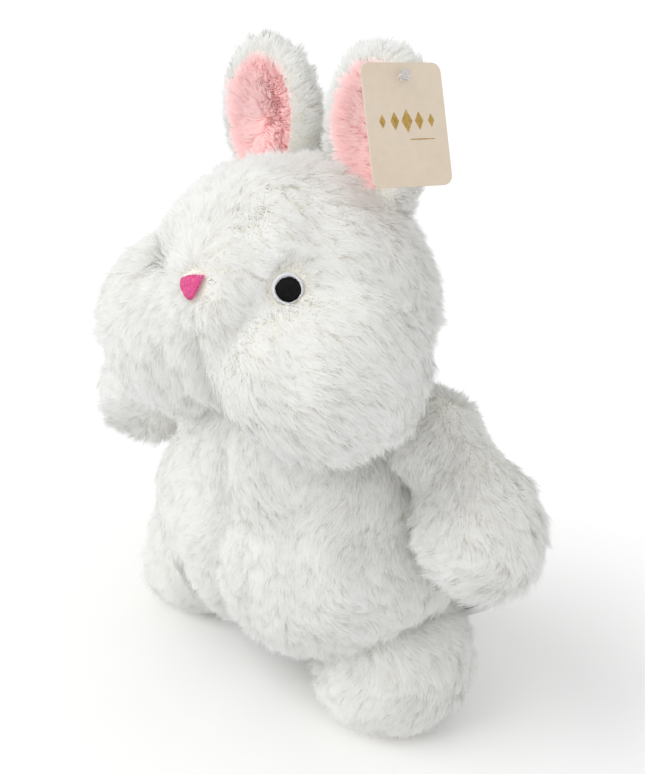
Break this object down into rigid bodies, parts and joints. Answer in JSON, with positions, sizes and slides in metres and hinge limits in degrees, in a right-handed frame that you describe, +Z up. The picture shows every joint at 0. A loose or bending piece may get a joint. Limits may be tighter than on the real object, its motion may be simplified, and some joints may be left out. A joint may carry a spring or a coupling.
{
  "type": "stuffed bunny",
  "caption": "Plump white long-pile plush bunny standing on two stub feet, with puffy cheeks, pink-lined upright ears, mitten arms and a card swing tag on one ear.",
  "frame": {"origin": "on the floor midway between the feet, at the middle of the bounding box", "axes": "+Z up, the bunny faces -Y and its own left is +X"},
  "size_m": [0.3215, 0.2173, 0.408],
  "materials": {
    "white_plush": "long soft pile, combed with loose clumps",
    "pink_plush": "short soft pile",
    "polyester_filling": "loose fibre, hidden",
    "white_thread": "satin-stitched embroidery thread with a soft gloss",
    "black_thread": "satin-stitched embroidery thread with a soft gloss",
    "pink_thread": "satin-stitched embroidery thread with a soft gloss",
    "tag_card": "smooth uncoated card with a plain gold foil motif",
    "clear_nylon": "clear moulded nylon",
    "black_satin": "woven satin ribbon",
    "white_satin": "woven satin ribbon"
  },
  "bodies": {
    "torso": {"body_front_left": "white_plush", "body_front_right": "white_plush", "body_back": "white_plush", "body_stuffing": "polyester_filling", "tail_cover": "white_plush", "tail_stuffing": "polyester_filling"},
    "head": {"face_left": "white_plush", "face_right": "white_plush", "head_rear": "white_plush", "head_stuffing": "polyester_filling", "left_eye_ring": "white_thread", "left_eye_pupil": "black_thread", "right_eye_ring": "white_thread", "right_eye_pupil": "black_thread", "nose": "pink_thread"},
    "left_arm": {"left_arm_cover": "white_plush", "left_arm_stuffing": "polyester_filling"},
    "right_arm": {"right_arm_cover": "white_plush", "right_arm_stuffing": "polyester_filling"},
    "left_leg": {"left_leg_cover": "white_plush", "left_leg_stuffing": "polyester_filling"},
    "right_leg": {"right_leg_cover": "white_plush", "right_leg_stuffing": "polyester_filling"},
    "left_ear": {"left_ear_outer": "white_plush", "left_ear_lining": "pink_plush", "left_ear_padding": "polyester_filling", "tag_fastener": "clear_nylon"},
    "right_ear": {"right_ear_outer": "white_plush", "right_ear_lining": "pink_plush", "right_ear_padding": "polyester_filling"},
    "tag": {"swing_tag": "tag_card"},
    "labels": {"black_label": "black_satin", "care_label": "white_satin"}
  },
  "joints": [
    {"name": "head_nod", "type": "hinge", "parent": "torso", "child": "head", "pos_m": [0, -0.019, 0.178], "axis": [1, 0, 0], "range_deg": [-8, 8], "stiffness_Nm_per_rad": 6},
    {"name": "left_shoulder", "type": "hinge", "parent": "torso", "child": "left_arm", "pos_m": [0.083, -0.002, 0.204], "axis": [-1, 0, 0], "range_deg": [-20, 45], "stiffness_Nm_per_rad": 0.6},
    {"name": "right_shoulder", "type": "hinge", "parent": "torso", "child": "right_arm", "pos_m": [-0.083, -0.002, 0.191], "axis": [-1, 0, 0], "range_deg": [-10, 30], "stiffness_Nm_per_rad": 0.6},
    {"name": "left_hip", "type": "hinge", "parent": "torso", "child": "left_leg", "pos_m": [0.084, -0.001, 0.04], "axis": [-1, 0, 0], "range_deg": [-8, 8], "stiffness_Nm_per_rad": 8},
    {"name": "right_hip", "type": "hinge", "parent": "torso", "child": "right_leg", "pos_m": [-0.084, -0.001, 0.04], "axis": [-1, 0, 0], "range_deg": [-8, 8], "stiffness_Nm_per_rad": 8},
    {"name": "left_ear_flop", "type": "hinge", "parent": "head", "child": "left_ear", "pos_m": [0.02539, 0.001, 0.33224], "axis": [0.9945, 0, 0.1045], "range_deg": [-20, 10], "stiffness_Nm_per_rad": 0.3},
    {"name": "right_ear_flop", "type": "hinge", "parent": "head", "child": "right_ear", "pos_m": [-0.05004, 0.001, 0.32298], "axis": [0.9877, 0, 0.1564], "range_deg": [-20, 20], "stiffness_Nm_per_rad": 0.3},
    {"name": "tag_swing", "type": "hinge", "parent": "left_ear", "child": "tag", "pos_m": [0.042, -0.015, 0.398], "axis": [-0.4384, -0.8988, 0], "range_deg": [0, 40]},
    {"name": "label_flap", "type": "hinge", "parent": "torso", "child": "labels", "pos_m": [0.09, 0.03, 0.073], "axis": [0.3023, 0.0642, 0.9511], "range_deg": [-15, 25], "stiffness_Nm_per_rad": 0.005}
  ]
}
